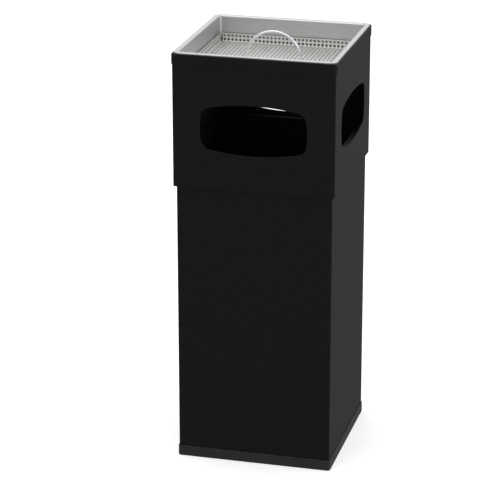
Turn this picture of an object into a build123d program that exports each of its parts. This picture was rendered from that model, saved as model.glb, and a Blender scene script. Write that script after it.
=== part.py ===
from build123d import *
import os

# Square ashtray bin in painted sheet steel. A tall body stands on a moulded base ring. A wider
# hood with openings in three sides lifts off it, and carries an ash tray with a perforated
# sieve. A galvanised liner with a swinging bail stands inside the body.
# Millimetres, +Z up, origin at the centre of the footprint on the ground. The front faces -Y.

# Driving dimensions.
overall_width = 240.0          # over the top band, the same both ways
rim_height = 620.0             # ground to the top of the ash tray's flange
sheet = 1.0                    # painted steel sheet of the body and the hood
edge_radius = 2.5              # outside radius of the folded upright edges

# Hood, measured down from its top.
band_wall = 1.5                # thickness of the top band outside and inside the hood's wall
band_height = 15.5
band_web = 2.0                 # the band's top, over the edge of the hood
band_round = 0.9
band_corner = 6.0              # inside and outside
opening_drop = 68.5            # top of the hood to the top of the openings
opening_height = 74.0
opening_side_margin = 40.5     # hood's edge to the opening's side
opening_bow_top = 8.4          # rise of the opening's long arcs
opening_bow_side = 3.6         # rise of the opening's short arcs
opening_corner = 14.0
opening_sill = 8.0             # opening's lowest edge to the top of the body
skirt = 45.0                   # how far the hood hangs down over the body
hood_gap = 3.0                 # between the body and the hood, each side

# Angle ledges inside the hood that stand on the body's rim.
ledge_sheet = 1.5
ledge_reach = 11.0             # from the hood's wall inwards
ledge_drop = 18.0              # leg that hangs in the gap between the hood and the body
ledge_end_gap = 38.0           # hood's edge to the end of a ledge

# Body, its floor and the base ring.
body_lip = 4.0                 # return lip at the body's rim, inwards
lip_bend = 0.8                 # outside bend radius at the rim
floor_flange = 20.0            # turned-up edge of the floor pan
ring_wall = 1.5
ring_height = 16.0
ring_lip = 3.0                 # thickness of the ring under the body's wall
ring_lip_width = 11.5          # how far the ring reaches in under the body
ring_corner = 4.5
ring_foot_round = 1.6
ring_top_round = 0.7

# Push rivets through the ring and the floor.
rivet_radius = 2.0
rivet_head_radius = 4.0
rivet_head_height = 1.2
rivet_recess = 1.7             # depth of the pocket for the head, in the ring's underside
rivet_recess_gap = 0.5         # round the head
rivet_tail_radius = 2.6
rivet_tail_height = 1.2
rivet_edge = 3.5               # inside face of the floor's flange to the rivet's centre

# Inner liner.
liner_sheet = 0.8
liner_gap = 2.0                # liner's rolled rim to the body's lip, each side
liner_bead = 2.0               # how far the rolled rim stands out
liner_bead_height = 4.0
liner_bead_round = 1.8
liner_drop = 74.0              # body's rim down to the liner's rim
liner_corner = 6.0
liner_floor_lift = 8.0         # liner's floor above its bottom edge

# Bail of the liner, with its ears.
bail_radius = 2.0
bail_seat_gap = 0.4            # bail above the rim when it lies down
bail_run = 0.1                 # running clearance in the ear's hole
bail_side_gap = 1.0            # ear to the start of the bail's bend
bail_bend = 5.0                # centre line, between an end and its side arm
bail_corner = 25.0
ear_sheet = 1.5
ear_width = 24.0
ear_round = 6.5
ear_plate_height = 18.0
ear_plate_drop = 7.0           # rim down to the top of the ear's plate
ear_rivet_spacing = 12.0
ear_rivet_radius = 1.6
ear_rivet_head_radius = 3.2
ear_rivet_head_height = 1.3
ear_rivet_head_round = 1.0
ear_rivet_tail_height = 1.2

# Ash tray.
tray_sheet = 1.0
tray_flange = 2.0              # flange with its folded-under edge
tray_border = 1.6              # strip of band that shows round the flange
tray_inset = 9.5               # outer face of the band to the inside of the tray
tray_depth = 39.0              # top of the flange to the tray's floor, inside
tray_corner = 4.0
flange_corner = 12.0           # rounder than the band, whose corners show past it
tray_mouth_round = 2.5
tray_flange_round = 0.8

# Sieve and its wire handle.
sieve_sheet = 0.8
sieve_gap = 2.5                # sieve to the tray's wall, each side
sieve_height = 12.8
sieve_notch = 3.0              # open corner between two turned-up sides
hole_pitch = 6.0
hole_radius = 2.0
hole_edge = 1.0                # least metal between a hole and a fold or an end
side_rows = 2                  # rows of holes in each turned-up side
side_first_row = 3.4           # sieve's underside to the lowest row
handle_wire = 1.5              # radius of the wire
handle_arch = 40.5             # radius of the arch's centre line
handle_rise = 47.0             # sieve's floor to the centre line at the top of the arch
handle_bend = 3.0
handle_foot = 12.0             # straight end that is welded to the sieve's floor

# Widths and levels worked out from the sizes above.
band_top = rim_height - tray_flange
hood_width = overall_width - 2 * band_wall
hood_inside = hood_width - 2 * sheet
body_width = hood_inside - 2 * hood_gap
body_inside = body_width - 2 * sheet
lip_clear = body_inside - 2 * body_lip
ring_width = body_width + 2 * ring_wall
opening_width = hood_width - 2 * opening_side_margin
opening_middle = band_top - opening_drop - opening_height / 2
body_top = band_top - opening_drop - opening_height - opening_sill
hood_bottom = body_top - skirt
floor_top = ring_lip + sheet
liner_width = lip_clear - 2 * (liner_gap + liner_bead)
liner_inside = liner_width - 2 * liner_sheet
liner_top = body_top - liner_drop
pivot_height = liner_top + bail_radius + bail_seat_gap
tray_inside = overall_width - 2 * tray_inset
tray_outside = tray_inside + 2 * tray_sheet
tray_floor_top = rim_height - tray_depth
flange_width = overall_width - 2 * tray_border
sieve_width = tray_inside - 2 * sieve_gap

os.makedirs("parts", exist_ok=True)


def finish(piece, name):
    piece.part.label = name
    export_step(piece.part, f"parts/{name}.step")


def square(width, radius, mode=Mode.ADD):
    RectangleRounded(width, width, radius, mode=mode)


def holes_along(length):
    return int((length - 2 * (hole_radius + hole_edge)) / hole_pitch) + 1


# Body shell: a square tube with its rim folded inwards, so that the hood has a flat seat.
with BuildPart() as body_shell:
    with BuildSketch(Plane.XY.offset(ring_lip)):
        square(body_width, edge_radius)
        square(body_inside, edge_radius - sheet, Mode.SUBTRACT)
    extrude(amount=body_top - ring_lip)
    with BuildSketch(Plane.XY.offset(body_top - sheet)):
        square(body_width - sheet, edge_radius - sheet / 2)
        square(lip_clear, edge_radius, Mode.SUBTRACT)
    extrude(amount=sheet)
    rim_edges = body_shell.faces().sort_by(Axis.Z)[-1].outer_wire().edges()
    fillet(rim_edges, radius=lip_bend)
finish(body_shell, "body_shell")

# Floor pan of the body, with its edge turned up against the shell.
rivet_reach = body_inside / 2 - sheet - rivet_edge
corner_spots = [(x * rivet_reach, y * rivet_reach) for x in (-1, 1) for y in (-1, 1)]
side_spots = [(-rivet_reach, 0), (rivet_reach, 0), (0, -rivet_reach), (0, rivet_reach)]
rivet_spots = corner_spots + side_spots
with BuildPart() as body_floor:
    with BuildSketch(Plane.XY.offset(ring_lip)):
        square(body_inside, edge_radius - sheet)
    extrude(amount=floor_flange)
    with BuildSketch(Plane.XY.offset(floor_top)):
        square(body_inside - 2 * sheet, edge_radius)
    extrude(amount=floor_flange, mode=Mode.SUBTRACT)
    with BuildSketch(Plane.XY.offset(ring_lip)):
        with Locations(*rivet_spots):
            Circle(rivet_radius)
    extrude(amount=sheet, mode=Mode.SUBTRACT)
finish(body_floor, "body_floor")

# Base ring: a moulded angle round the foot of the body, with pockets for the rivets' heads.
with BuildPart() as base_ring:
    with BuildSketch():
        square(ring_width, ring_corner)
        square(body_width - 2 * ring_lip_width, ring_corner, Mode.SUBTRACT)
    extrude(amount=ring_height)
    with BuildSketch(Plane.XY.offset(ring_lip)):
        square(body_width, edge_radius)
    extrude(amount=ring_height, mode=Mode.SUBTRACT)
    foot_edges = base_ring.faces().sort_by(Axis.Z)[0].outer_wire().edges()
    fillet(foot_edges, radius=ring_foot_round)
    top_edges = base_ring.faces().sort_by(Axis.Z)[-1].outer_wire().edges()
    fillet(top_edges, radius=ring_top_round)
    with BuildSketch():
        with Locations(*rivet_spots):
            Circle(rivet_radius)
    extrude(amount=ring_lip, mode=Mode.SUBTRACT)
    with BuildSketch():
        with Locations(*rivet_spots):
            Circle(rivet_head_radius + rivet_recess_gap)
    extrude(amount=rivet_recess, mode=Mode.SUBTRACT)
finish(base_ring, "base_ring")

# Eight push rivets: a head in the ring's pocket, a shank, and a spread tail on the floor.
with BuildPart() as base_rivets:
    with BuildSketch(Plane.XY.offset(rivet_recess - rivet_head_height)):
        with Locations(*rivet_spots):
            Circle(rivet_head_radius)
    extrude(amount=rivet_head_height)
    with BuildSketch(Plane.XY.offset(rivet_recess)):
        with Locations(*rivet_spots):
            Circle(rivet_radius)
    extrude(amount=floor_top - rivet_recess)
    with BuildSketch(Plane.XY.offset(floor_top)):
        with Locations(*rivet_spots):
            Circle(rivet_tail_radius)
    extrude(amount=rivet_tail_height)
finish(base_rivets, "base_rivets")

# Liner shell: a galvanised square tube with a rolled rim, holed for the ears' rivets.
ear_rivet_height = liner_top - ear_plate_drop - ear_plate_height / 2
ear_rivet_spots = [(-ear_rivet_spacing / 2, ear_rivet_height), (ear_rivet_spacing / 2, ear_rivet_height)]
with BuildPart() as liner_shell:
    with BuildSketch(Plane.XY.offset(floor_top)):
        square(liner_width, liner_corner)
    extrude(amount=liner_top - floor_top)
    with BuildSketch(Plane.XY.offset(liner_top - liner_bead_height)):
        square(liner_width + 2 * liner_bead, liner_corner + liner_bead)
    extrude(amount=liner_bead_height)
    bead_edges = liner_shell.faces().sort_by(Axis.Z)[-1].outer_wire().edges()
    fillet(bead_edges, radius=liner_bead_round)
    with BuildSketch(Plane.XY.offset(floor_top)):
        square(liner_inside, liner_corner - liner_sheet)
    extrude(amount=liner_top, mode=Mode.SUBTRACT)
    with BuildSketch(Plane.YZ):
        with Locations(*ear_rivet_spots):
            Circle(ear_rivet_radius)
    extrude(amount=liner_width, both=True, mode=Mode.SUBTRACT)
finish(liner_shell, "liner_shell")

# Liner floor: a pan with its edge turned down inside the liner's foot.
with BuildPart() as liner_floor:
    with BuildSketch(Plane.XY.offset(floor_top)):
        square(liner_inside, liner_corner - liner_sheet)
    extrude(amount=liner_floor_lift + liner_sheet)
    with BuildSketch(Plane.XY.offset(floor_top)):
        square(liner_inside - 2 * liner_sheet, liner_corner - 2 * liner_sheet)
    extrude(amount=liner_floor_lift, mode=Mode.SUBTRACT)
finish(liner_floor, "liner_floor")

# Two ears inside the liner's rim, each with a hole for the bail.
for ear_name, side in (("right_liner_ear", 1), ("left_liner_ear", -1)):
    ear_middle = side * (liner_inside - ear_sheet) / 2
    with BuildPart() as liner_ear:
        with BuildSketch(Plane.YZ.offset(ear_middle)):
            with Locations((0, ear_rivet_height)):
                Rectangle(ear_width, ear_plate_height)
            with Locations((0, pivot_height)):
                Circle(ear_round)
            make_hull()
            with Locations((0, pivot_height)):
                Circle(bail_radius + bail_run, mode=Mode.SUBTRACT)
            with Locations(*ear_rivet_spots):
                Circle(ear_rivet_radius, mode=Mode.SUBTRACT)
        extrude(amount=ear_sheet / 2, both=True)
    finish(liner_ear, ear_name)

# Four rivets hold the ears: a round head inside the liner and a flat tail outside.
with BuildPart() as liner_ear_rivets:
    for side in (1, -1):
        inner_face = side * (liner_inside / 2 - ear_sheet)
        outer_face = side * liner_width / 2
        with BuildSketch(Plane.YZ.offset(inner_face)):
            with Locations(*ear_rivet_spots):
                Circle(ear_rivet_radius)
        extrude(amount=outer_face - inner_face)
        with BuildSketch(Plane.YZ.offset(inner_face)):
            with Locations(*ear_rivet_spots):
                Circle(ear_rivet_head_radius)
        extrude(amount=-side * ear_rivet_head_height)
        with BuildSketch(Plane.YZ.offset(outer_face)):
            with Locations(*ear_rivet_spots):
                Circle(ear_rivet_head_radius)
        extrude(amount=side * ear_rivet_tail_height)
    inside_faces = liner_ear_rivets.faces().filter_by(Axis.X).filter_by(
        lambda face: abs(face.center().X) < liner_inside / 2 - ear_sheet - ear_rivet_head_height / 2
    )
    fillet(inside_faces.edges(), radius=ear_rivet_head_round)
finish(liner_ear_rivets, "liner_ear_rivets")

# Bail of the liner, lying down to the back on the rolled rim.
bail_arm = liner_inside / 2 - ear_sheet - bail_side_gap - bail_bend
bail_end = liner_width / 2 + liner_bead / 2
bail_back = liner_width / 2
with BuildPart() as liner_bail:
    with BuildLine(Plane.XY.offset(pivot_height)) as bail_path:
        FilletPolyline(
            (-bail_end, 0),
            (-bail_arm, 0),
            (-bail_arm, bail_back),
            (bail_arm, bail_back),
            (bail_arm, 0),
            (bail_end, 0),
            radius=[bail_bend, bail_corner, bail_corner, bail_bend],
        )
    with BuildSketch(Plane(origin=(-bail_end, 0, pivot_height), z_dir=(1, 0, 0))):
        Circle(bail_radius)
    sweep(path=bail_path.wire())
finish(liner_bail, "liner_bail")

# Hood shell: a square tube with the same bowed opening in the front, the back and the right.
# The left side is plain, to stand against a wall.
half_width = opening_width / 2
half_height = opening_height / 2
corner_x = half_width - opening_bow_side
corner_z = half_height - opening_bow_top
with BuildPart() as hood_shell:
    with BuildSketch(Plane.XY.offset(hood_bottom)):
        square(hood_width, edge_radius)
        square(hood_inside, edge_radius - sheet, Mode.SUBTRACT)
    extrude(amount=band_top - band_web - hood_bottom)
    for through, both_ways in ((Plane.XZ, True), (Plane.YZ, False)):
        with BuildSketch(through):
            with Locations((0, opening_middle)):
                with BuildSketch(mode=Mode.PRIVATE) as opening:
                    with BuildLine():
                        ThreePointArc((-corner_x, corner_z), (0, half_height), (corner_x, corner_z))
                        ThreePointArc((corner_x, corner_z), (half_width, 0), (corner_x, -corner_z))
                        ThreePointArc((corner_x, -corner_z), (0, -half_height), (-corner_x, -corner_z))
                        ThreePointArc((-corner_x, -corner_z), (-half_width, 0), (-corner_x, corner_z))
                    make_face()
                    fillet(opening.vertices(), radius=opening_corner)
                add(opening.sketch)
        extrude(amount=hood_width, both=both_ways, mode=Mode.SUBTRACT)
finish(hood_shell, "hood_shell")

# Top band: a channel pushed down over the hood's top edge.
with BuildPart() as top_band:
    with BuildSketch(Plane.XY.offset(band_top - band_height)):
        square(overall_width, band_corner)
        square(hood_inside - 2 * band_wall, band_corner, Mode.SUBTRACT)
    extrude(amount=band_height)
    with BuildSketch(Plane.XY.offset(band_top - band_height)):
        square(hood_width, edge_radius)
        square(hood_inside, edge_radius - sheet, Mode.SUBTRACT)
    extrude(amount=band_height - band_web, mode=Mode.SUBTRACT)
    band_edges = top_band.faces().sort_by(Axis.Z)[-1].outer_wire().edges()
    fillet(band_edges, radius=band_round)
finish(top_band, "top_band")

# Four angle ledges spot welded inside the hood: the top leg stands on the body's rim.
ledge_length = hood_width - 2 * ledge_end_gap
for ledge_name, turn in (("front_ledge", -90), ("right_ledge", 0), ("back_ledge", 90), ("left_ledge", 180)):
    section = Plane.XZ.rotated((0, 0, turn))
    with BuildPart() as ledge:
        with BuildSketch(section):
            with Locations((hood_inside / 2, body_top)):
                Rectangle(ledge_reach, ledge_sheet, align=(Align.MAX, Align.MIN))
                Rectangle(ledge_sheet, ledge_drop, align=(Align.MAX, Align.MAX))
        extrude(amount=ledge_length / 2, both=True)
    finish(ledge, ledge_name)

# Ash tray: a square dish hung in the hood by its flange.
with BuildPart() as ash_tray:
    with BuildSketch(Plane.XY.offset(tray_floor_top - tray_sheet)):
        square(tray_outside, tray_corner + tray_sheet)
    extrude(amount=tray_depth + tray_sheet)
    with BuildSketch(Plane.XY.offset(band_top)):
        square(flange_width, flange_corner)
    extrude(amount=tray_flange)
    flange_edges = ash_tray.faces().sort_by(Axis.Z)[-1].outer_wire().edges()
    fillet(flange_edges, radius=tray_flange_round)
    with BuildSketch(Plane.XY.offset(tray_floor_top)):
        square(tray_inside, tray_corner)
    extrude(amount=tray_depth, mode=Mode.SUBTRACT)
    mouth_edges = ash_tray.faces().sort_by(Axis.Z)[-1].inner_wires()[0].edges()
    fillet(mouth_edges, radius=tray_mouth_round)
finish(ash_tray, "ash_tray")

# Sieve: a perforated blank with four turned-up sides and open corners, standing in the tray.
sieve_inside = sieve_width - 2 * sieve_sheet
floor_count = holes_along(sieve_inside)
side_count = holes_along(sieve_width - 2 * sieve_notch)
row_middle = tray_floor_top + side_first_row + (side_rows - 1) * hole_pitch / 2
with BuildPart() as sieve:
    with BuildSketch(Plane.XY.offset(tray_floor_top)):
        Rectangle(sieve_width, sieve_width)
    extrude(amount=sieve_height)
    with BuildSketch(Plane.XY.offset(tray_floor_top + sieve_sheet)):
        Rectangle(sieve_inside, sieve_inside)
    extrude(amount=sieve_height, mode=Mode.SUBTRACT)
    with BuildSketch(Plane.XY.offset(tray_floor_top)):
        with GridLocations(sieve_width - sieve_notch, sieve_width - sieve_notch, 2, 2):
            Rectangle(sieve_notch, sieve_notch)
    extrude(amount=sieve_height, mode=Mode.SUBTRACT)
    with BuildSketch(Plane.XY.offset(tray_floor_top)):
        with GridLocations(hole_pitch, hole_pitch, floor_count, floor_count):
            Circle(hole_radius)
    extrude(amount=sieve_sheet, mode=Mode.SUBTRACT)
    for through, both_ways in ((Plane.XZ, True), (Plane.YZ, False)):
        with BuildSketch(through):
            with Locations((0, row_middle)):
                with GridLocations(hole_pitch, hole_pitch, side_count, side_rows):
                    Circle(hole_radius)
        extrude(amount=sieve_width, both=True, mode=Mode.SUBTRACT)
finish(sieve, "sieve")

# Wire handle of the sieve: an upright arch with a welded foot at each end.
foot_height = tray_floor_top + sieve_sheet + handle_wire
arch_middle = tray_floor_top + sieve_sheet + handle_rise - handle_arch
foot_start = handle_arch + handle_bend + handle_foot
with BuildPart() as sieve_handle:
    with BuildLine(Plane.XZ) as handle_path:
        left_foot = Line((-foot_start, foot_height), (-handle_arch - handle_bend, foot_height))
        left_bend = JernArc(left_foot @ 1, left_foot % 1, handle_bend, 90)
        left_leg = Line(left_bend @ 1, (-handle_arch, arch_middle))
        arch = JernArc(left_leg @ 1, left_leg % 1, handle_arch, -180)
        right_leg = Line(arch @ 1, (handle_arch, foot_height + handle_bend))
        right_bend = JernArc(right_leg @ 1, right_leg % 1, handle_bend, 90)
        Line(right_bend @ 1, (foot_start, foot_height))
    with BuildSketch(Plane(origin=(-foot_start, 0, foot_height), z_dir=(1, 0, 0))):
        Circle(handle_wire)
    sweep(path=handle_path.wire())
finish(sieve_handle, "sieve_handle")
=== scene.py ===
import bpy
import math
from mathutils import Matrix, Vector


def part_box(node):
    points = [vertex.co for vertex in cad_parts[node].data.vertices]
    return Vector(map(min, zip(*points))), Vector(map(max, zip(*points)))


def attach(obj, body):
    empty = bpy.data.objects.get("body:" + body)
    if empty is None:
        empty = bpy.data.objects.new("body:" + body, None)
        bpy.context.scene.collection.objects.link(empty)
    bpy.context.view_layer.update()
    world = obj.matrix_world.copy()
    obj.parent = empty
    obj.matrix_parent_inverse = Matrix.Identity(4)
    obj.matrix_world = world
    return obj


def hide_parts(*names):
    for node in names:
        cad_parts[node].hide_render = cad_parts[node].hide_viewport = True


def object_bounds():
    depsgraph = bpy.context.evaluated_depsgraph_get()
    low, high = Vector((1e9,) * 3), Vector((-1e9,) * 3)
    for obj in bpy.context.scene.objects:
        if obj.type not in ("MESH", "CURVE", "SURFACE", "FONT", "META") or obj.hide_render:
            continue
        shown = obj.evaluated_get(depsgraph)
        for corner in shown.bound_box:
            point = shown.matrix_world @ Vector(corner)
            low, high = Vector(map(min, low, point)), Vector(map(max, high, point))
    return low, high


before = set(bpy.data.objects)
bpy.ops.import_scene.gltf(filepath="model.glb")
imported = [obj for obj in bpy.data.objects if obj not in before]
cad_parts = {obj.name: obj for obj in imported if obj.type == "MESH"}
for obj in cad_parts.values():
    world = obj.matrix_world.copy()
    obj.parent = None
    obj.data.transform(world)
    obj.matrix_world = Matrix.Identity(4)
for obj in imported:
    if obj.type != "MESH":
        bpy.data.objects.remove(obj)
cadLow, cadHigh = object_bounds()

mm = 0.001
hairline = 0.01 * mm   # how near a corner has to be to count as on a line
past = 10 * mm         # how far a cutter runs on beyond what it cuts


# small tools for modelling
def deselectAll():
    if bpy.context.object and bpy.context.object.mode != "OBJECT":
        bpy.ops.object.mode_set(mode="OBJECT")
    bpy.ops.object.select_all(action="DESELECT")


def makeOnly(piece):
    deselectAll()
    piece.select_set(True)
    bpy.context.view_layer.objects.active = piece


def settle(piece):
    # the place goes into the mesh, and the object stays at the origin
    makeOnly(piece)
    bpy.ops.object.transform_apply(location=True, rotation=True, scale=True)


def addBlock(name, low, high):
    deselectAll()
    low, high = Vector(low), Vector(high)
    bpy.ops.mesh.primitive_cube_add(size=1, location=(low + high) / 2, scale=high - low)
    block = bpy.context.object
    block.name = name
    settle(block)
    return block


def addRod(name, radius, length, middle, turn=(0, 0, 0), sides=64):
    deselectAll()
    bpy.ops.mesh.primitive_cylinder_add(
        vertices=sides, radius=radius, depth=length, location=middle, rotation=turn)
    rod = bpy.context.object
    rod.name = name
    settle(rod)
    return rod


def pickEdges(piece, wanted):
    makeOnly(piece)
    bpy.ops.object.mode_set(mode="EDIT")
    bpy.ops.mesh.select_mode(type="EDGE")
    bpy.ops.mesh.select_all(action="DESELECT")
    bpy.ops.object.mode_set(mode="OBJECT")
    points = piece.data.vertices
    for edge in piece.data.edges:
        edge.select = wanted(points[edge.vertices[0]].co, points[edge.vertices[1]].co)
    bpy.ops.object.mode_set(mode="EDIT")


def roundEdges(piece, wanted, radius, segments):
    pickEdges(piece, wanted)
    bpy.ops.mesh.bevel(
        offset=radius, offset_type="OFFSET", segments=segments, profile=0.5, clamp_overlap=False)
    bpy.ops.object.mode_set(mode="OBJECT")


def upright(a, b):
    return abs(a.x - b.x) < hairline and abs(a.y - b.y) < hairline


def atHeight(height, nearest=0.0):
    # level edges at one height, at least that far out from the middle
    def wanted(a, b):
        level = abs(a.z - height) < hairline and abs(b.z - height) < hairline
        return level and min(max(abs(p.x), abs(p.y)) for p in (a, b)) > nearest
    return wanted


def applyModifier(piece, kind, **settings):
    makeOnly(piece)
    modifier = piece.modifiers.new(kind.lower(), kind)
    for key, value in settings.items():
        setattr(modifier, key, value)
    bpy.ops.object.modifier_apply(modifier=modifier.name)


def combine(piece, other, operation="DIFFERENCE"):
    applyModifier(piece, "BOOLEAN", object=other, operation=operation, solver="EXACT")
    bpy.data.objects.remove(other)


def joinTo(piece, others):
    makeOnly(piece)
    for other in others:
        other.select_set(True)
    bpy.ops.object.join()


def softenEdges(piece, width, segments=2, angle=35):
    applyModifier(piece, "BEVEL", width=width, segments=segments, limit_method="ANGLE",
                  angle_limit=math.radians(angle), use_clamp_overlap=True, harden_normals=False)


def smooth(piece, angle=32, weighed=True):
    makeOnly(piece)
    bpy.ops.object.shade_smooth_by_angle(angle=math.radians(angle))
    if weighed:
        # flat faces stay flat right up to their softened edges
        applyModifier(piece, "WEIGHTED_NORMAL", keep_sharp=True, weight=90)


def roundedBlock(name, width, bottom, top, corner, segments=6):
    half = width / 2
    block = addBlock(name, (-half, -half, bottom), (half, half, top))
    roundEdges(block, upright, corner, segments)
    return block


def squareTube(name, outside, inside, bottom, top, corner, innerCorner, segments=6):
    tube = roundedBlock(name, outside, bottom, top, corner, segments)
    combine(tube, roundedBlock(name + "Core", inside, bottom - past, top + past, innerCorner, segments))
    return tube


def place(piece, body, nodes, material):
    piece.data.materials.clear()
    piece.data.materials.append(material)
    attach(piece, body)
    if nodes:
        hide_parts(*nodes)


# small tools for materials
def startMaterial(name):
    material = bpy.data.materials.new(name)
    material.use_nodes = True
    return material, material.node_tree, material.node_tree.nodes["Principled BSDF"]


def addNode(tree, kind, values=None, **settings):
    node = tree.nodes.new(kind)
    for key, value in settings.items():
        setattr(node, key, value)
    for key, value in (values or {}).items():
        node.inputs[key].default_value = value
    return node


def objectPoint(tree, scale=(1, 1, 1)):
    coordinate = addNode(tree, "ShaderNodeTexCoord")
    mapping = addNode(tree, "ShaderNodeMapping", {"Scale": scale})
    tree.links.new(coordinate.outputs["Object"], mapping.inputs["Vector"])
    return mapping.outputs["Vector"]


def noise(tree, point, scale, detail=3.0, roughness=0.5):
    node = addNode(tree, "ShaderNodeTexNoise", {"Scale": scale, "Detail": detail, "Roughness": roughness})
    tree.links.new(point, node.inputs["Vector"])
    return node.outputs["Fac"]


def spread(tree, value, low, high, start=0.3, end=0.7):
    # stretches a pattern between two numbers
    limits = {"From Min": start, "From Max": end, "To Min": low, "To Max": high}
    node = addNode(tree, "ShaderNodeMapRange", limits)
    tree.links.new(value, node.inputs["Value"])
    return node.outputs["Result"]


def blend(tree, value, first, second):
    node = addNode(tree, "ShaderNodeMix", data_type="RGBA")
    node.inputs["A"].default_value = (*first, 1)
    node.inputs["B"].default_value = (*second, 1)
    tree.links.new(value, node.inputs["Factor"])
    return node.outputs["Result"]


def relief(tree, shader, layers):
    # each layer is a pattern, its strength and its depth, and they stack up on one another
    below = None
    for height, strength, depth in layers:
        bump = addNode(tree, "ShaderNodeBump", {"Strength": strength, "Distance": depth})
        tree.links.new(height, bump.inputs["Height"])
        if below:
            tree.links.new(below, bump.inputs["Normal"])
        below = bump.outputs["Normal"]
    tree.links.new(below, shader.inputs["Normal"])


# sizes of a pattern are spots to the metre
powderCoat = dict(dark=(0.0040, 0.0040, 0.0042), light=(0.0056, 0.0056, 0.0058), cloudSize=140,
                  peelSize=900, peelDepth=0.06 * mm, rippleSize=180, rippleDepth=0.12 * mm,
                  roughness=(0.43, 0.47), gloss=0.16)


def makePowderCoat():
    material, tree, shader = startMaterial("blackPowderCoat")
    point = objectPoint(tree)
    peel = noise(tree, point, powderCoat["peelSize"], 2.0)
    ripple = noise(tree, point, powderCoat["rippleSize"], 2.0)
    cloud = noise(tree, point, powderCoat["cloudSize"], 4.0)
    colour = blend(tree, spread(tree, cloud, 0, 1), powderCoat["dark"], powderCoat["light"])
    tree.links.new(colour, shader.inputs["Base Color"])
    tree.links.new(spread(tree, cloud, *powderCoat["roughness"]), shader.inputs["Roughness"])
    shader.inputs["Specular IOR Level"].default_value = powderCoat["gloss"]
    layers = [(ripple, 0.12, powderCoat["rippleDepth"]), (peel, 0.25, powderCoat["peelDepth"])]
    relief(tree, shader, layers)
    return material


mouldedPlastic = dict(dark=(0.009, 0.009, 0.0094), light=(0.013, 0.013, 0.0134), flowSize=22,
                      flowFlatness=4, grainSize=1800, grainDepth=0.05 * mm, roughness=(0.48, 0.60),
                      gloss=0.45)


def makeMouldedPlastic():
    material, tree, shader = startMaterial("blackMouldedPlastic")
    point = objectPoint(tree)
    grain = noise(tree, point, mouldedPlastic["grainSize"], 3.0, 0.6)
    flattened = objectPoint(tree, (1, 1, mouldedPlastic["flowFlatness"]))
    flow = noise(tree, flattened, mouldedPlastic["flowSize"], 4.0)
    colour = blend(tree, spread(tree, flow, 0, 1), mouldedPlastic["dark"], mouldedPlastic["light"])
    tree.links.new(colour, shader.inputs["Base Color"])
    tree.links.new(spread(tree, flow, *mouldedPlastic["roughness"]), shader.inputs["Roughness"])
    shader.inputs["Specular IOR Level"].default_value = mouldedPlastic["gloss"]
    relief(tree, shader, [(grain, 0.4, mouldedPlastic["grainDepth"])])
    return material


# grain is the pattern's fineness along X, Y and Z, and spangle the number of zinc flowers to the metre
satinSteel = dict(dark=(0.58, 0.58, 0.575), light=(0.68, 0.68, 0.675), roughness=(0.34, 0.46),
                  grain=(90, 90, 2500), grainDepth=0.02 * mm, spangle=0)
sieveSteel = dict(dark=(0.76, 0.76, 0.75), light=(0.88, 0.88, 0.87), roughness=(0.36, 0.48),
                  grain=(60, 900, 900), grainDepth=0.02 * mm, spangle=0)
galvanisedSteel = dict(dark=(0.52, 0.53, 0.55), light=(0.70, 0.71, 0.73), roughness=(0.36, 0.46),
                       grain=(40, 40, 40), grainDepth=0.02 * mm, spangle=150)
drawnWire = dict(dark=(0.86, 0.86, 0.86), light=(0.95, 0.95, 0.95), roughness=(0.28, 0.38),
                 grain=(300, 300, 300), grainDepth=0.01 * mm, spangle=0)
# painted shade darkens the lowest part of the tray, from one height to the other above its underside
lowTrayShade = dict(colour=(0.36, 0.35, 0.34), full=4 * mm, gone=16 * mm)
cloudShare, cloudSize = 0.35, 14.0


# painted shade: the steel is multiplied darker below one height above the tray's underside, fading out by the
# other
def addLowTrayShade(tree, colour):
    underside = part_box("ash_tray")[0].z
    full, gone = underside + lowTrayShade["full"], underside + lowTrayShade["gone"]
    height = addNode(tree, "ShaderNodeSeparateXYZ")
    tree.links.new(objectPoint(tree), height.inputs["Vector"])
    shadeColour = {"B": (*lowTrayShade["colour"], 1)}
    shaded = addNode(tree, "ShaderNodeMix", shadeColour, data_type="RGBA", blend_type="MULTIPLY")
    tree.links.new(spread(tree, height.outputs["Z"], 1, 0, full, gone), shaded.inputs["Factor"])
    tree.links.new(colour, shaded.inputs["A"])
    return shaded.outputs["Result"]


def makeMetal(name, finish, lowShaded=False):
    material, tree, shader = startMaterial(name)
    shader.inputs["Metallic"].default_value = 1.0
    lines = noise(tree, objectPoint(tree, finish["grain"]), 1.0, 5.0, 0.65)
    cloud = noise(tree, objectPoint(tree), cloudSize, 4.0)
    pattern, low, high = lines, 0.35, 0.65
    if finish["spangle"]:
        flowers = {"Scale": finish["spangle"], "Randomness": 1.0}
        cells = addNode(tree, "ShaderNodeTexVoronoi", flowers, feature="F1")
        tree.links.new(objectPoint(tree), cells.inputs["Vector"])
        tone = addNode(tree, "ShaderNodeSeparateColor")
        tree.links.new(cells.outputs["Color"], tone.inputs["Color"])
        pattern, low, high = tone.outputs["Red"], 0.15, 0.85
    both = addNode(tree, "ShaderNodeMix", {"Factor": cloudShare}, data_type="FLOAT")
    tree.links.new(pattern, both.inputs["A"])
    tree.links.new(cloud, both.inputs["B"])
    value = both.outputs["Result"]
    colour = blend(tree, spread(tree, value, 0, 1, low, high), finish["dark"], finish["light"])
    if lowShaded:
        colour = addLowTrayShade(tree, colour)
    tree.links.new(colour, shader.inputs["Base Color"])
    tree.links.new(spread(tree, value, *finish["roughness"], low, high), shader.inputs["Roughness"])
    relief(tree, shader, [(lines, 0.3, finish["grainDepth"])])
    return material


paint = makePowderCoat()
plastic = makeMouldedPlastic()
# the tray's steel carries the painted shade low down, and so do the liner ear rivets below it
plainSteel = makeMetal("satinSteel", satinSteel, lowShaded=True)
pierced = makeMetal("sieveSteel", sieveSteel)
galvanised = makeMetal("galvanisedSteel", galvanisedSteel)
wireSteel = makeMetal("brightWire", drawnWire)
print("made the finishes")


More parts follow.
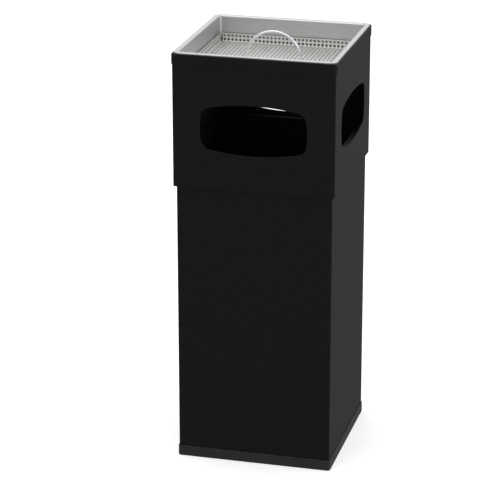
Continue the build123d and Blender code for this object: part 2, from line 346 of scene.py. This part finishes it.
bodyShell = dict(sheet=1.0 * mm, edgeRadius=2.5 * mm, lip=4.0 * mm, lipBend=0.8 * mm, seamWidth=0.5 * mm,
                 seamDepth=0.25 * mm, edgeSoftness=0.15 * mm)


def makeBodyShell():
    low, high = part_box("body_shell")
    width, bottom, top = high.x - low.x, low.z, high.z
    sheet, corner = bodyShell["sheet"], bodyShell["edgeRadius"]
    shell = roundedBlock("bodyShell", width, bottom, top, corner)
    roundEdges(shell, atHeight(top), bodyShell["lipBend"], 3)
    combine(shell, roundedBlock("inside", width - 2 * sheet, bottom - past, top - sheet, corner - sheet))
    mouth = width / 2 - sheet - bodyShell["lip"]
    combine(shell, addBlock("mouth", (-mouth, -mouth, top - past), (mouth, mouth, top + past)))
    half, deep = bodyShell["seamWidth"] / 2, width / 2 - bodyShell["seamDepth"]
    combine(shell, addBlock("seam", (-half, deep, bottom - past), (half, deep + past, top + past)))
    softenEdges(shell, bodyShell["edgeSoftness"])
    smooth(shell)
    place(shell, "body", ["body_shell"], paint)


baseRing = dict(lip=3.0 * mm, lipWidth=11.5 * mm, corner=4.5 * mm, footRound=1.6 * mm, topRound=0.7 * mm,
                pocket=4.5 * mm, headGap=0.5 * mm, pocketDepth=1.7 * mm,
                edgeSoftness=0.2 * mm)


def makeBaseRing():
    low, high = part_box("base_ring")
    shellLow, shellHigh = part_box("body_shell")
    width, top = high.x - low.x, high.z
    seat = shellHigh.x - shellLow.x
    ring = roundedBlock("baseRing", width, low.z, top, baseRing["corner"])
    roundEdges(ring, atHeight(low.z), baseRing["footRound"], 4)
    roundEdges(ring, atHeight(top), baseRing["topRound"], 3)
    combine(ring, roundedBlock("seat", seat, baseRing["lip"], top + past, bodyShell["edgeRadius"]))
    hole = seat - 2 * baseRing["lipWidth"]
    combine(ring, roundedBlock("hole", hole, low.z - past, top + past, baseRing["corner"]))
    # a pocket in the underside for each rivet's head, at the corners and the middles of the sides
    rivetLow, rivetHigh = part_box("base_rivets")
    head = baseRing["pocket"] - baseRing["headGap"]
    reach = rivetHigh.x - head
    for x in (-1, 0, 1):
        for y in (-1, 0, 1):
            if x or y:
                middle = (x * reach, y * reach, low.z + baseRing["pocketDepth"] - past / 2)
                combine(ring, addRod("pocket", baseRing["pocket"], past, middle, sides=24))
    softenEdges(ring, baseRing["edgeSoftness"])
    smooth(ring)
    place(ring, "body", ["base_ring"], plastic)


hoodShell = dict(sheet=1.0 * mm, edgeRadius=2.5 * mm, openingDrop=68.5 * mm, openingHeight=74 * mm,
                 openingWidth=156 * mm, bowTop=8.4 * mm, bowSide=3.6 * mm, openingCorner=14 * mm,
                 seamWidth=0.5 * mm, seamDepth=0.25 * mm, edgeSoftness=0.18 * mm)


def openingOutline():
    # round one quarter of the opening, from the top's middle to the side's, and then the other three
    halfWide, halfHigh = hoodShell["openingWidth"] / 2, hoodShell["openingHeight"] / 2
    bowTop, bowSide, corner = hoodShell["bowTop"], hoodShell["bowSide"], hoodShell["openingCorner"]
    topRadius = ((halfWide - bowSide) ** 2 + bowTop ** 2) / (2 * bowTop)
    sideRadius = ((halfHigh - bowTop) ** 2 + bowSide ** 2) / (2 * bowSide)
    topMiddle, sideMiddle = Vector((0, halfHigh - topRadius)), Vector((halfWide - sideRadius, 0))
    # the corner's arc touches the other two from inside
    apart = sideMiddle - topMiddle
    fromTop, fromSide = topRadius - corner, sideRadius - corner
    along = (fromTop ** 2 - fromSide ** 2 + apart.length_squared) / (2 * apart.length)
    aside = math.sqrt(fromTop ** 2 - along ** 2)
    cornerMiddle = topMiddle + apart.normalized() * along - apart.orthogonal().normalized() * aside
    topTurn = math.atan2(*(cornerMiddle - topMiddle).yx)
    sideTurn = math.atan2(*(cornerMiddle - sideMiddle).yx)
    arcs = ((topMiddle, topRadius, math.pi / 2, topTurn, 12), (cornerMiddle, corner, topTurn, sideTurn, 12),
            (sideMiddle, sideRadius, sideTurn, 0.0, 8))
    quarter = []
    for middle, radius, start, end, steps in arcs:
        for step in range(steps):
            turn = start + (end - start) * step / steps
            quarter.append((middle.x + radius * math.cos(turn), middle.y + radius * math.sin(turn)))
    side = [(halfWide, 0.0)]
    lower = [(x, -z) for x, z in reversed(quarter[1:])]
    right = quarter + side + lower
    left = [(-x, -z) for x, z in right]
    return right + left


def makeOpeningPunch(middle, near, far):
    # a bar with the opening's outline, from near to far along Y, its middle at one height
    outline = openingOutline()
    deselectAll()
    width = hoodShell["openingWidth"]
    bpy.ops.mesh.primitive_circle_add(vertices=len(outline), radius=width / 2, fill_type="NGON")
    punch = bpy.context.object
    for vertex, (x, z) in zip(punch.data.vertices, outline):
        vertex.co = (x, near, middle + z)
    bpy.ops.object.mode_set(mode="EDIT")
    bpy.ops.mesh.select_all(action="SELECT")
    bpy.ops.mesh.extrude_region_move(TRANSFORM_OT_translate={"value": (0, far - near, 0)})
    bpy.ops.mesh.select_all(action="SELECT")
    bpy.ops.mesh.normals_make_consistent(inside=False)
    bpy.ops.object.mode_set(mode="OBJECT")
    return punch


def makeHoodShell():
    low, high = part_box("hood_shell")
    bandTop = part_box("top_band")[1].z
    width, bottom, top = high.x - low.x, low.z, high.z
    sheet, corner = hoodShell["sheet"], hoodShell["edgeRadius"]
    shell = squareTube("hoodShell", width, width - 2 * sheet, bottom, top, corner, corner - sheet)
    middle = bandTop - hoodShell["openingDrop"] - hoodShell["openingHeight"] / 2
    # front and back together, then the right; the left side stays plain
    for turn, far in ((0, width), (90, 0)):
        punch = makeOpeningPunch(middle, -width, far)
        punch.rotation_euler.z = math.radians(turn)
        settle(punch)
        combine(shell, punch)
    half, deep = hoodShell["seamWidth"] / 2, width / 2 - hoodShell["seamDepth"]
    combine(shell, addBlock("seam", (-half, deep, bottom - past), (half, deep + past, top + past)))
    softenEdges(shell, hoodShell["edgeSoftness"])
    smooth(shell)
    place(shell, "hood", ["hood_shell"], paint)


topBand = dict(wall=1.5 * mm, web=2.0 * mm, corner=6.0 * mm, topRound=0.9 * mm, edgeSoftness=0.2 * mm)


def makeTopBand():
    low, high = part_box("top_band")
    hoodLow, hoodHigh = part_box("hood_shell")
    width, hoodWidth = high.x - low.x, hoodHigh.x - hoodLow.x
    sheet, corner = hoodShell["sheet"], hoodShell["edgeRadius"]
    inside = hoodWidth - 2 * sheet - 2 * topBand["wall"]
    band = roundedBlock("topBand", width, low.z, high.z, topBand["corner"])
    roundEdges(band, atHeight(high.z), topBand["topRound"], 4)
    combine(band, roundedBlock("inside", inside, low.z - past, high.z + past, topBand["corner"]))
    slotCutter = squareTube("slot", hoodWidth, hoodWidth - 2 * sheet, low.z - past, high.z - topBand["web"],
                            corner, corner - sheet)
    combine(band, slotCutter)
    softenEdges(band, topBand["edgeSoftness"])
    smooth(band)
    place(band, "hood", ["top_band"], paint)


ashTray = dict(sheet=1.0 * mm, flange=2.0 * mm, inset=9.5 * mm, corner=4.0 * mm, flangeCorner=12.0 * mm,
               mouthRound=2.5 * mm, flangeRound=0.8 * mm, floorRound=1.5 * mm, edgeSoftness=0.15 * mm)


def makeAshTray():
    low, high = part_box("ash_tray")
    bandLow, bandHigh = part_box("top_band")
    inside = bandHigh.x - bandLow.x - 2 * ashTray["inset"]
    sheet, corner = ashTray["sheet"], ashTray["corner"]
    flangeWidth, flangeBottom = high.x - low.x, high.z - ashTray["flange"]
    tray = roundedBlock("ashTray", inside + 2 * sheet, low.z, high.z - ashTray["flange"] / 2, corner + sheet)
    roundEdges(tray, atHeight(low.z), ashTray["floorRound"], 3)
    flange = roundedBlock("flange", flangeWidth, flangeBottom, high.z, ashTray["flangeCorner"], 8)
    roundEdges(flange, atHeight(high.z), ashTray["flangeRound"], 3)
    combine(tray, flange, "UNION")
    hollow = roundedBlock("hollow", inside, low.z + sheet, high.z + past, corner)
    roundEdges(hollow, atHeight(low.z + sheet), ashTray["floorRound"], 3)
    combine(tray, hollow)
    mouthLimit = inside / 2 + hairline

    def mouth(a, b):
        return atHeight(high.z)(a, b) and max(abs(a.x), abs(a.y), abs(b.x), abs(b.y)) < mouthLimit
    roundEdges(tray, mouth, ashTray["mouthRound"], 5)
    softenEdges(tray, ashTray["edgeSoftness"])
    smooth(tray)
    place(tray, "tray", ["ash_tray"], plainSteel)


# a welded seam stands in each upright corner of the tray, and its bright wire finish is a painted highlight
# down the corner
traySeam = dict(radius=1.2 * mm, shorter=6.0 * mm, lower=1.2 * mm, outOfCorner=1.4 * mm, endSoftness=0.5 * mm)


def makeTraySeams():
    low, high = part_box("ash_tray")
    bandLow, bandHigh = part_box("top_band")
    inside = bandHigh.x - bandLow.x - 2 * ashTray["inset"]
    seams = []
    reach = inside / 2 - traySeam["outOfCorner"]
    for x in (-1, 1):
        for y in (-1, 1):
            middle = (x * reach, y * reach, (low.z + high.z) / 2 - traySeam["lower"])
            seam = addRod("seam", traySeam["radius"], high.z - low.z - traySeam["shorter"], middle, sides=12)
            softenEdges(seam, traySeam["endSoftness"])
            seams.append(seam)
    joinTo(seams[0], seams[1:])
    seams[0].name = "traySeams"
    smooth(seams[0], weighed=False)
    # the bright wire finish on the seams paints the highlight down each corner
    place(seams[0], "tray", [], wireSteel)


# what the two bent wires share
bentWire = dict(sides=20, degreesPerStep=4, fewestSteps=6, endSoftness=0.4 * mm, endAngle=60)


def bendWire(name, radius, start, moves):
    # a ring of edges at the start, facing along X, is drawn out straight or turned round a bend, move by move
    # a straight move is its length, and a bend its radius, its angle and the axis it turns about
    deselectAll()
    bpy.ops.mesh.primitive_circle_add(
        vertices=bentWire["sides"], radius=radius, location=start, rotation=(0, math.pi / 2, 0))
    wire = bpy.context.object
    wire.name = name
    settle(wire)
    bpy.ops.object.mode_set(mode="EDIT")
    bpy.ops.mesh.select_mode(type="EDGE")
    bpy.ops.mesh.select_all(action="SELECT")
    at, heading = Vector(start), Vector((1, 0, 0))
    for move in moves:
        if len(move) == 1:
            step = heading * move[0]
            bpy.ops.mesh.extrude_region_move(TRANSFORM_OT_translate={"value": step})
            at = at + step
        else:
            bend, angle, axis = move[0], math.radians(move[1]), Vector(move[2])
            middle = at + axis.cross(heading) * bend * (1 if angle > 0 else -1)
            steps = max(bentWire["fewestSteps"], int(abs(angle) / math.radians(bentWire["degreesPerStep"])))
            # spin counts its angle the other way round
            bpy.ops.mesh.spin(steps=steps, angle=-angle, center=middle, axis=axis)
            turn = Matrix.Rotation(angle, 3, axis)
            at = middle + turn @ (at - middle)
            heading = turn @ heading
    bpy.ops.mesh.select_all(action="SELECT")
    bpy.ops.mesh.remove_doubles(threshold=0.001 * mm)
    bpy.ops.mesh.fill_holes(sides=0)
    bpy.ops.mesh.normals_make_consistent(inside=False)
    bpy.ops.object.mode_set(mode="OBJECT")
    softenEdges(wire, bentWire["endSoftness"], 2, bentWire["endAngle"])
    smooth(wire, weighed=False)
    return wire


sieveBasket = dict(sheet=0.8 * mm, pitch=6.0 * mm, hole=2.0 * mm, rows=2, notch=3.0 * mm, holeSides=12,
                   smoothAngle=40)


def makeHoleCell():
    # one square of sheet with a round hole, lying flat
    deselectAll()
    pitch, sides = sieveBasket["pitch"], sieveBasket["holeSides"]
    bpy.ops.mesh.primitive_plane_add(size=pitch)
    cell = bpy.context.object
    bpy.ops.object.mode_set(mode="EDIT")
    bpy.ops.mesh.select_all(action="SELECT")
    bpy.ops.mesh.delete(type="ONLY_FACE")
    bpy.ops.mesh.select_all(action="SELECT")
    bpy.ops.mesh.subdivide(number_cuts=sides // 4 - 1)
    bpy.ops.mesh.primitive_circle_add(
        vertices=sides, radius=sieveBasket["hole"], rotation=(0, 0, math.pi / sides))
    bpy.ops.mesh.select_all(action="SELECT")
    bpy.ops.mesh.bridge_edge_loops()
    bpy.ops.object.mode_set(mode="OBJECT")
    return cell


def makeHoleField(columns, rows):
    field = makeHoleCell()
    pitch = sieveBasket["pitch"]
    for count, step in ((columns, (pitch, 0, 0)), (rows, (0, pitch, 0))):
        applyModifier(field, "ARRAY", count=count, use_relative_offset=False, use_constant_offset=True,
                      constant_offset_displace=step, use_merge_vertices=True, merge_threshold=hairline)
    field.location = (-pitch * (columns - 1) / 2, pitch / 2, 0)
    settle(field)
    return field


def makeSieve():
    low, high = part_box("sieve")
    sheet, pitch = sieveBasket["sheet"], sieveBasket["pitch"]
    fold = (high.x - low.x - sheet) / 2
    floorLevel = low.z + sheet / 2
    columns = int((high.x - low.x - 2 * sieveBasket["notch"]) / pitch + 0.01)
    sieve = makeHoleField(columns, columns)
    sieve.name = "sieveBasket"
    edge = pitch * columns / 2
    sieve.location = (0, -edge, floorLevel)
    settle(sieve)
    sides = []
    for turn in (0, 90, 180, 270):
        # a strip stands on the fold, and a plain margin joins it to the floor
        strip = makeHoleField(columns, sieveBasket["rows"])
        strip.rotation_euler = (math.pi / 2, 0, 0)
        strip.location = (0, -fold, floorLevel)
        settle(strip)
        top = floorLevel + sieveBasket["rows"] * pitch
        pickEdges(strip, atHeight(top))
        bpy.ops.mesh.extrude_region_move(TRANSFORM_OT_translate={"value": (0, 0, high.z - top)})
        pickEdges(strip, atHeight(floorLevel))
        bpy.ops.mesh.extrude_region_move(TRANSFORM_OT_translate={"value": (0, fold - edge, 0)})
        bpy.ops.object.mode_set(mode="OBJECT")
        strip.rotation_euler.z = math.radians(turn)
        settle(strip)
        sides.append(strip)
    joinTo(sieve, sides)
    bpy.ops.object.mode_set(mode="EDIT")
    bpy.ops.mesh.select_all(action="SELECT")
    bpy.ops.mesh.remove_doubles(threshold=0.02 * mm)
    bpy.ops.mesh.normals_make_consistent(inside=False)
    bpy.ops.object.mode_set(mode="OBJECT")
    applyModifier(sieve, "SOLIDIFY", thickness=sheet, offset=0, use_even_offset=True)
    smooth(sieve, sieveBasket["smoothAngle"], weighed=False)
    place(sieve, "sieve_basket", ["sieve"], pierced)


sieveHandle = dict(bend=3.0 * mm, foot=12.0 * mm)


def makeSieveHandle():
    low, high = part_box("sieve_handle")
    radius = (high.y - low.y) / 2
    bend, foot = sieveHandle["bend"], sieveHandle["foot"]
    arch = high.x - foot - bend
    leg = high.z - radius - arch - (low.z + radius) - bend
    upwards, over = (0, -1, 0), (0, 1, 0)
    moves = [(foot,), (bend, 90, upwards), (leg,), (arch, 180, over), (leg,), (bend, 90, upwards), (foot,)]
    wire = bendWire("sieveHandle", radius, (low.x, 0, low.z + radius), moves)
    place(wire, "sieve_basket", ["sieve_handle"], wireSteel)


linerShell = dict(sheet=0.8 * mm, corner=6.0 * mm, bead=2.0 * mm, beadHeight=4.0 * mm, beadRound=1.8 * mm,
                  seamWidth=12 * mm, seamStep=0.4 * mm, seamDrop=3 * mm, edgeSoftness=0.15 * mm)


def makeLinerShell():
    low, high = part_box("liner_shell")
    bead, sheet, corner = linerShell["bead"], linerShell["sheet"], linerShell["corner"]
    width, bottom, top = high.x - low.x - 2 * bead, low.z, high.z
    shell = roundedBlock("linerShell", width, bottom, top, corner)
    rim = roundedBlock("rim", width + 2 * bead, top - linerShell["beadHeight"], top, corner + bead)
    roundEdges(rim, atHeight(top), linerShell["beadRound"], 4)
    roundEdges(rim, atHeight(top - linerShell["beadHeight"]), linerShell["beadRound"], 4)
    combine(shell, rim, "UNION")
    half, step = linerShell["seamWidth"] / 2, linerShell["seamStep"]
    seamTop = top - linerShell["seamDrop"]
    overlap = addBlock("overlap", (-half, width / 2 - step, bottom), (half, width / 2 + step, seamTop))
    combine(shell, overlap, "UNION")
    combine(shell, roundedBlock("inside", width - 2 * sheet, bottom - past, top + past, corner - sheet))
    softenEdges(shell, linerShell["edgeSoftness"])
    smooth(shell)
    place(shell, "liner", ["liner_shell"], galvanised)


linerBail = dict(bend=5.0 * mm, corner=25.0 * mm, sideGap=1.0 * mm)


def makeLinerBail():
    low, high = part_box("liner_bail")
    earLow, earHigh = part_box("right_liner_ear")
    radius = (high.z - low.z) / 2
    bend, corner = linerBail["bend"], linerBail["corner"]
    arm = earLow.x - bend - linerBail["sideGap"]
    stub = high.x - arm - bend
    reach = high.y - radius
    side = reach - bend - corner
    across = 2 * (arm - corner)
    left, right = (0, 0, 1), (0, 0, -1)
    moves = [(stub,), (bend, 90, left), (side,), (corner, 90, right), (across,), (corner, 90, right), (side,),
             (bend, 90, left), (stub,)]
    wire = bendWire("linerBail", radius, (low.x, 0, low.z + radius), moves)
    place(wire, "bail", ["liner_bail"], wireSteel)


print("modelling")
makeBodyShell()
makeBaseRing()
makeHoodShell()
makeTopBand()
makeAshTray()
makeTraySeams()
makeSieve()
makeSieveHandle()
makeLinerShell()
makeLinerBail()

# the rest keep their shape and only get a finish
for nodeName, finish in (
        ("body_floor", paint), ("base_rivets", plastic), ("liner_floor", galvanised),
        ("left_liner_ear", galvanised), ("right_liner_ear", galvanised), ("liner_ear_rivets", plainSteel),
        ("front_ledge", paint), ("right_ledge", paint), ("back_ledge", paint), ("left_ledge", paint)):
    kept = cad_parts[nodeName]
    kept.data.materials.clear()
    kept.data.materials.append(finish)


# a slope is how far a direction points up, back or right, from -1 to 1
studio = dict(floor=(0.95, 0.95, 0.95), floorGlow=0.30, floorWidth=40, floorRoughness=0.9, worldLight=1.0,
              lowGloss=0.20, highGloss=0.95, lowSlope=-0.25, highSlope=0.50,
              backGloss=0.08, backSlopes=(0.2, 0.9), rightGloss=0.40, rightSlopes=(0.5, 0.95))


def makeStudio():
    deselectAll()
    bpy.ops.mesh.primitive_plane_add(size=studio["floorWidth"], location=(0, 0, cadLow.z))
    floor = bpy.context.object
    floor.name = "floor"
    floor.visible_glossy = False
    material, tree, shader = startMaterial("paleFloor")
    shader.inputs["Base Color"].default_value = (*studio["floor"], 1)
    shader.inputs["Roughness"].default_value = studio["floorRoughness"]
    shader.inputs["Emission Color"].default_value = (1, 1, 1, 1)
    shader.inputs["Emission Strength"].default_value = studio["floorGlow"]
    floor.data.materials.append(material)
    # an even white room, but what shines in the paint is dark low down, and light overhead, behind and
    # at the right
    world = bpy.data.worlds.new("studio")
    bpy.context.scene.world = world
    world.use_nodes = True
    tree = world.node_tree
    direction = addNode(tree, "ShaderNodeTexCoord")
    parts = addNode(tree, "ShaderNodeSeparateXYZ")
    tree.links.new(direction.outputs["Generated"], parts.inputs["Vector"])
    gloss = spread(tree, parts.outputs["Z"], studio["lowGloss"], studio["highGloss"], studio["lowSlope"],
                   studio["highSlope"])
    for axis, amount, slopes in (("Y", "backGloss", "backSlopes"), ("X", "rightGloss", "rightSlopes")):
        total = addNode(tree, "ShaderNodeMath", operation="ADD")
        tree.links.new(gloss, total.inputs[0])
        tree.links.new(spread(tree, parts.outputs[axis], 0, studio[amount], *studio[slopes]), total.inputs[1])
        gloss = total.outputs["Value"]
    path = addNode(tree, "ShaderNodeLightPath")
    strength = addNode(tree, "ShaderNodeMix", {"A": studio["worldLight"]}, data_type="FLOAT")
    tree.links.new(path.outputs["Is Glossy Ray"], strength.inputs["Factor"])
    tree.links.new(gloss, strength.inputs["B"])
    background = tree.nodes["Background"]
    tree.links.new(strength.outputs["Result"], background.inputs["Strength"])
    background.inputs["Color"].default_value = (1, 1, 1, 1)


# power in watts, and each one faces the middle of the bin
softboxes = {
    "backSoftbox": dict(at=(-0.4, 3.2, 2.0), size=(3.0, 2.2), power=4),
    "rightSoftbox": dict(at=(3.0, 0.8, 1.6), size=(1.6, 2.2), power=12),
    "topSoftbox": dict(at=(-0.6, -0.6, 3.2), size=(2.2, 2.2), power=15),
}


def makeSoftboxes():
    middle = (cadLow + cadHigh) / 2
    for name, box in softboxes.items():
        lamp = bpy.data.lights.new(name, "AREA")
        lamp.shape = "RECTANGLE"
        lamp.size, lamp.size_y = box["size"]
        lamp.energy = box["power"]
        softbox = bpy.data.objects.new(name, lamp)
        bpy.context.scene.collection.objects.link(softbox)
        softbox.location = box["at"]
        softbox.rotation_euler = (middle - softbox.location).to_track_quat("-Z", "Y").to_euler()


cameraSet = dict(azimuth=14.58, elevation=19.59, distance=3.4166, aim=(-0.0352, 0.0, 0.2921), lens=165.13,
                 sensor=36)


def makeCamera():
    data = bpy.data.cameras.new("camera")
    data.lens = cameraSet["lens"]
    data.sensor_width = cameraSet["sensor"]
    camera = bpy.data.objects.new("camera", data)
    bpy.context.scene.collection.objects.link(camera)
    turn, lift = math.radians(cameraSet["azimuth"]), math.radians(cameraSet["elevation"])
    back = Vector((math.sin(turn) * math.cos(lift), -math.cos(turn) * math.cos(lift), math.sin(lift)))
    camera.location = Vector(cameraSet["aim"]) + back * cameraSet["distance"]
    camera.rotation_euler = (-back).to_track_quat("-Z", "Y").to_euler()
    bpy.context.scene.camera = camera


makeStudio()
makeSoftboxes()
makeCamera()
bpy.context.scene.view_settings.view_transform = "Standard"
print("made the studio")
